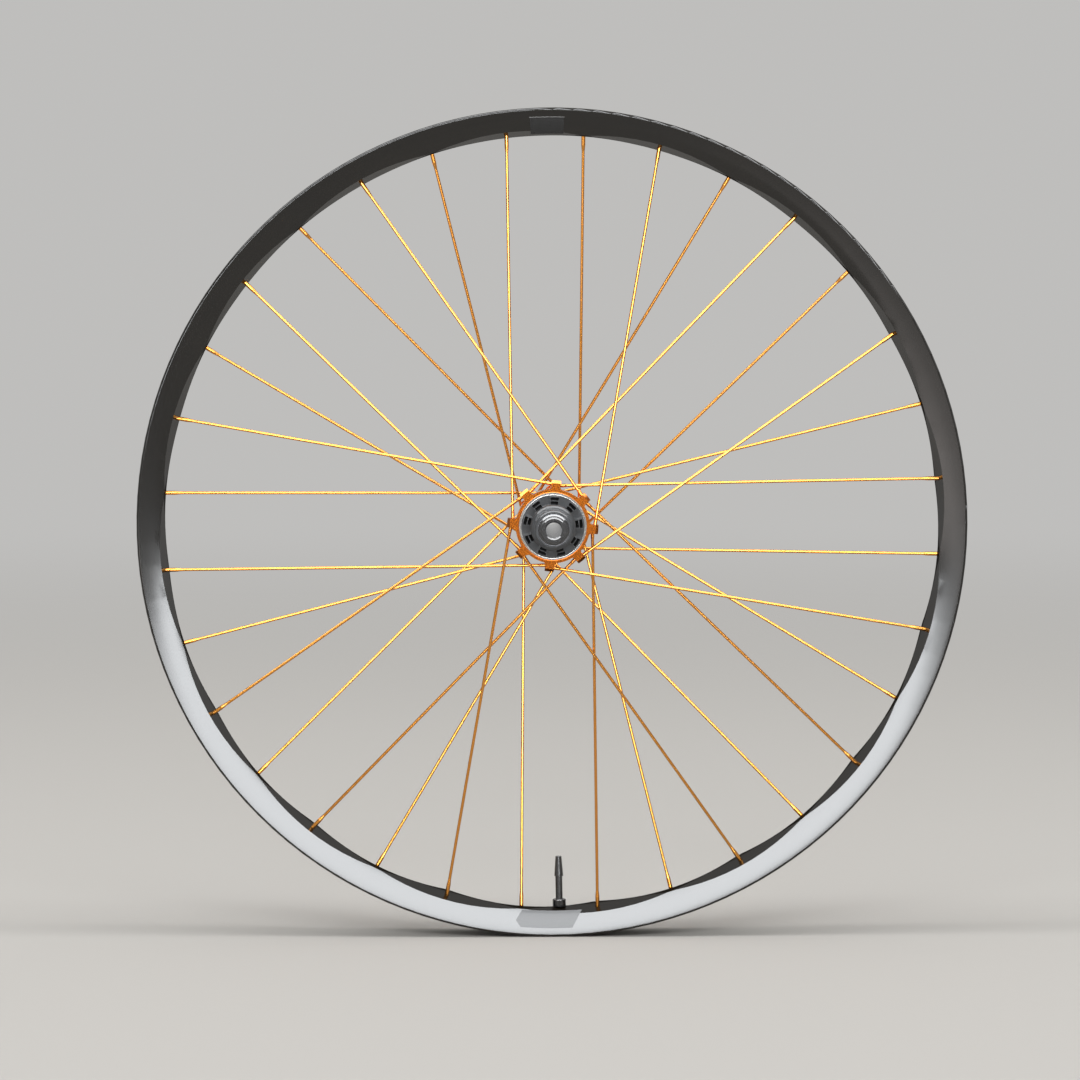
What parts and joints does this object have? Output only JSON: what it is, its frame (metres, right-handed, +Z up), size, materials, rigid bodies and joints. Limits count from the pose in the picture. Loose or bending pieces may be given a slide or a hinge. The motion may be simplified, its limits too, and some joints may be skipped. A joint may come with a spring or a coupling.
{
  "type": "bicycle wheel",
  "caption": "Rear mountain bike wheel: hollow scalloped rim, straight-pull spokes, lugged gold hub, ratcheting freehub, disc rotor mount and tubeless valve.",
  "frame": {"origin": "middle of the axle, midway between the two end cap faces", "axes": "+Y along the axle from the drive side to the brake rotor side, +Z up with the valve at the bottom, +X to the right when the drive side is looked at"},
  "size_m": [0.634, 0.148, 0.634],
  "materials": {
    "carbon_rim": "satin clear coat over dark carbon fibre",
    "tape": "matte adhesive tape",
    "gold_metal": "gold anodised, satin",
    "gold_spoke": "gold anodised, polished",
    "black_metal": "black anodised, satin",
    "silver_metal": "turned, bare",
    "bright_steel": "ground bright edge",
    "tool_steel": "hardened",
    "spring_steel": "drawn wire",
    "bearing_steel": "ground",
    "rubber": "matte",
    "brass": "bare"
  },
  "bodies": {
    "axle_set": {"axle": "silver_metal", "axle_spacers": "silver_metal", "end_cap_drive": "black_metal", "end_cap_brake": "black_metal", "hub_bearing_inner_rings": "bearing_steel", "freehub_bearing_inner_rings": "bearing_steel"},
    "wheel": {"rim": "carbon_rim", "rim_tape": "tape", "hub_shell": "gold_metal", "drive_ring": "bright_steel", "hub_bearing_outer_rings": "bearing_steel", "hub_bearing_seals": "rubber", "valve_stem": "black_metal", "valve_base": "rubber", "valve_nut": "black_metal", "valve_core": "brass", "spoke_drive_01": "gold_spoke", "spoke_drive_02": "gold_spoke", "spoke_drive_03": "gold_spoke", "spoke_drive_04": "gold_spoke", "spoke_drive_05": "gold_spoke", "spoke_drive_06": "gold_spoke", "spoke_drive_07": "gold_spoke", "spoke_drive_08": "gold_spoke", "spoke_drive_09": "gold_spoke", "spoke_drive_10": "gold_spoke", "spoke_drive_11": "gold_spoke", "spoke_drive_12": "gold_spoke", "spoke_drive_13": "gold_spoke", "spoke_drive_14": "gold_spoke", "spoke_drive_15": "gold_spoke", "spoke_drive_16": "gold_spoke", "spoke_brake_01": "gold_spoke", "spoke_brake_02": "gold_spoke", "spoke_brake_03": "gold_spoke", "spoke_brake_04": "gold_spoke", "spoke_brake_05": "gold_spoke", "spoke_brake_06": "gold_spoke", "spoke_brake_07": "gold_spoke", "spoke_brake_08": "gold_spoke", "spoke_brake_09": "gold_spoke", "spoke_brake_10": "gold_spoke", "spoke_brake_11": "gold_spoke", "spoke_brake_12": "gold_spoke", "spoke_brake_13": "gold_spoke", "spoke_brake_14": "gold_spoke", "spoke_brake_15": "gold_spoke", "spoke_brake_16": "gold_spoke"},
    "freehub": {"freehub_body": "black_metal", "freehub_bearing_outer_rings": "bearing_steel", "freehub_bearing_seals": "rubber", "pawl_spring": "spring_steel", "freehub_seal": "rubber"},
    "pawl_a": {"pawl_1": "tool_steel"},
    "pawl_b": {"pawl_2": "tool_steel"},
    "pawl_c": {"pawl_3": "tool_steel"},
    "cap": {"valve_cap": "black_metal"}
  },
  "joints": [
    {"name": "wheel_spin", "type": "hinge", "parent": "axle_set", "child": "wheel", "pos_m": [0, 0, 0], "axis": [0, 1, 0], "continuous": true},
    {"name": "freehub_spin", "type": "hinge", "parent": "axle_set", "child": "freehub", "pos_m": [0, 0, 0], "axis": [0, 1, 0], "continuous": true},
    {"name": "pawl_a_hinge", "type": "hinge", "parent": "freehub", "child": "pawl_a", "pos_m": [0, -0.0185, 0.0143], "axis": [0, 1, 0], "range_deg": [0, 14], "stiffness_Nm_per_rad": 0.02, "springref_deg": -11.46},
    {"name": "pawl_b_hinge", "type": "hinge", "parent": "freehub", "child": "pawl_b", "pos_m": [-0.01238, -0.0185, -0.00715], "axis": [0, 1, 0], "range_deg": [0, 14], "stiffness_Nm_per_rad": 0.02, "springref_deg": -11.46},
    {"name": "pawl_c_hinge", "type": "hinge", "parent": "freehub", "child": "pawl_c", "pos_m": [0.01238, -0.0185, -0.00715], "axis": [0, 1, 0], "range_deg": [0, 14], "stiffness_Nm_per_rad": 0.02, "springref_deg": -11.46},
    {"name": "valve_cap_slide", "type": "slide", "parent": "wheel", "child": "cap", "axis": [-0.0188, 0, 0.9998], "range_m": [0, 0.014]}
  ]
}
